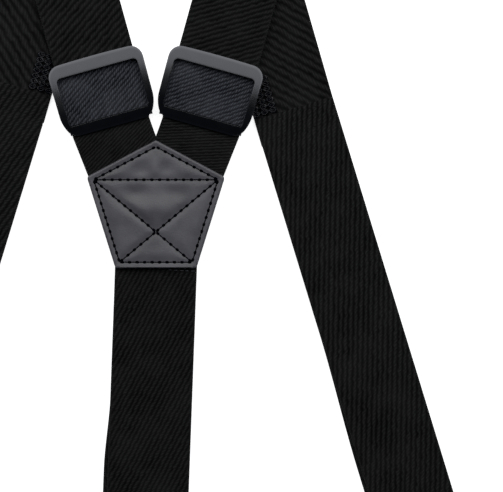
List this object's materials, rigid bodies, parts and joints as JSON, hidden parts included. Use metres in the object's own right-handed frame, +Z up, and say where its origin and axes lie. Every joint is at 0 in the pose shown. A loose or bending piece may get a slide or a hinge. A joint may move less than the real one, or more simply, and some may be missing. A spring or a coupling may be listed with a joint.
{
  "type": "suspenders",
  "caption": "Y-back dress suspenders in dark twill webbing with a house-shaped leather patch, metal adjuster slides and lever clips, laid flat with the back facing up.",
  "frame": {"origin": "middle of the leather patch, on the surface that the suspenders lie on", "axes": "+Z up from that surface, out of the back face of the patch; +Y from the patch towards the shoulder folds; +X to the right as seen from above"},
  "size_m": [0.5054, 0.6748, 0.0107],
  "materials": {
    "webbing": "woven diagonal twill",
    "leather": "smooth, lightly grained",
    "thread": "twisted polyester",
    "slide_metal": "satin gunmetal plating",
    "clip_metal": "satin gunmetal plating",
    "clip_pads": "moulded ridges"
  },
  "bodies": {
    "webbing": {"left_shoulder_strap": "webbing", "right_shoulder_strap": "webbing", "left_front_strap": "webbing", "right_front_strap": "webbing", "rear_strap": "webbing", "patch_front": "leather", "patch_backing": "leather", "patch_stitching": "thread", "left_seam_thread": "thread", "right_seam_thread": "thread", "left_overlocked_edge": "thread", "right_overlocked_edge": "thread"},
    "left_slide": {"left_slide": "slide_metal", "left_slide_webbing": "webbing"},
    "right_slide": {"right_slide": "slide_metal", "right_slide_webbing": "webbing"},
    "rear_bail": {"rear_clip_bail": "clip_metal"},
    "rear_clip": {"rear_clip_back": "clip_metal", "rear_clip_back_pad": "clip_pads", "rear_clip_jaw_pin": "clip_metal", "rear_clip_rivets": "clip_metal"},
    "rear_jaw": {"rear_clip_jaw": "clip_metal", "rear_clip_jaw_pad": "clip_pads"},
    "rear_lever": {"rear_clip_lever": "clip_metal"},
    "right_bail": {"right_clip_bail": "clip_metal"},
    "right_clip": {"right_clip_back": "clip_metal", "right_clip_back_pad": "clip_pads", "right_clip_jaw_pin": "clip_metal", "right_clip_rivets": "clip_metal"},
    "right_jaw": {"right_clip_jaw": "clip_metal", "right_clip_jaw_pad": "clip_pads"},
    "right_lever": {"right_clip_lever": "clip_metal"},
    "left_bail": {"left_clip_bail": "clip_metal"},
    "left_clip": {"left_clip_back": "clip_metal", "left_clip_back_pad": "clip_pads", "left_clip_jaw_pin": "clip_metal", "left_clip_rivets": "clip_metal"},
    "left_jaw": {"left_clip_jaw": "clip_metal", "left_clip_jaw_pad": "clip_pads"},
    "left_lever": {"left_clip_lever": "clip_metal"}
  },
  "joints": [
    {"name": "left_slide_travel", "type": "slide", "parent": "webbing", "child": "left_slide", "axis": [-0.2672, 0.9636, 0], "range_m": [0, 0.035]},
    {"name": "right_slide_travel", "type": "slide", "parent": "webbing", "child": "right_slide", "axis": [0.2672, 0.9636, 0], "range_m": [0, 0.035]},
    {"name": "rear_bail_swing", "type": "hinge", "parent": "webbing", "child": "rear_bail", "pos_m": [-0.00605, -0.19217, 0.0029], "axis": [-0.9993, 0.0366, 0], "range_deg": [-90, 90]},
    {"name": "rear_clip_swing", "type": "hinge", "parent": "rear_bail", "child": "rear_clip", "pos_m": [-0.00641, -0.20216, 0.0029], "axis": [-0.9993, 0.0366, 0], "range_deg": [-50, 50]},
    {"name": "rear_lever_lift", "type": "hinge", "parent": "rear_clip", "child": "rear_lever", "pos_m": [-0.00729, -0.22615, 0.00866], "axis": [0.9993, -0.0366, 0], "range_deg": [0, 110]},
    {"name": "rear_jaw_open", "type": "hinge", "parent": "rear_clip", "child": "rear_jaw", "pos_m": [-0.00663, -0.20816, 0.0042], "axis": [-0.9993, 0.0366, 0], "range_deg": [0, 7]},
    {"name": "right_bail_swing", "type": "hinge", "parent": "webbing", "child": "right_bail", "pos_m": [0.22535, -0.50418, 0.0029], "axis": [-0.9563, -0.2924, 0], "range_deg": [-90, 60]},
    {"name": "right_clip_swing", "type": "hinge", "parent": "right_bail", "child": "right_clip", "pos_m": [0.2279, -0.51252, 0.0078], "axis": [-0.9563, -0.2924, 0], "range_deg": [-25, 70]},
    {"name": "right_lever_lift", "type": "hinge", "parent": "right_clip", "child": "right_lever", "pos_m": [0.23492, -0.53547, 0.00204], "axis": [-0.9563, -0.2924, 0], "range_deg": [0, 110]},
    {"name": "right_jaw_open", "type": "hinge", "parent": "right_clip", "child": "right_jaw", "pos_m": [0.22966, -0.51826, 0.0065], "axis": [0.9563, 0.2924, 0], "range_deg": [0, 7]},
    {"name": "left_bail_swing", "type": "hinge", "parent": "webbing", "child": "left_bail", "pos_m": [-0.22815, -0.49408, 0.0029], "axis": [-0.9563, 0.2924, 0], "range_deg": [-90, 60]},
    {"name": "left_clip_swing", "type": "hinge", "parent": "left_bail", "child": "left_clip", "pos_m": [-0.2307, -0.50242, 0.0078], "axis": [-0.9563, 0.2924, 0], "range_deg": [-25, 70]},
    {"name": "left_lever_lift", "type": "hinge", "parent": "left_clip", "child": "left_lever", "pos_m": [-0.23772, -0.52537, 0.00204], "axis": [-0.9563, 0.2924, 0], "range_deg": [0, 110]},
    {"name": "left_jaw_open", "type": "hinge", "parent": "left_clip", "child": "left_jaw", "pos_m": [-0.23246, -0.50816, 0.0065], "axis": [0.9563, -0.2924, 0], "range_deg": [0, 7]}
  ],
  "couplings": [
    {"joint": "rear_jaw_open", "follows": "rear_lever_lift", "ratio": 0.063636},
    {"joint": "right_jaw_open", "follows": "right_lever_lift", "ratio": 0.063636},
    {"joint": "left_jaw_open", "follows": "left_lever_lift", "ratio": 0.063636}
  ]
}
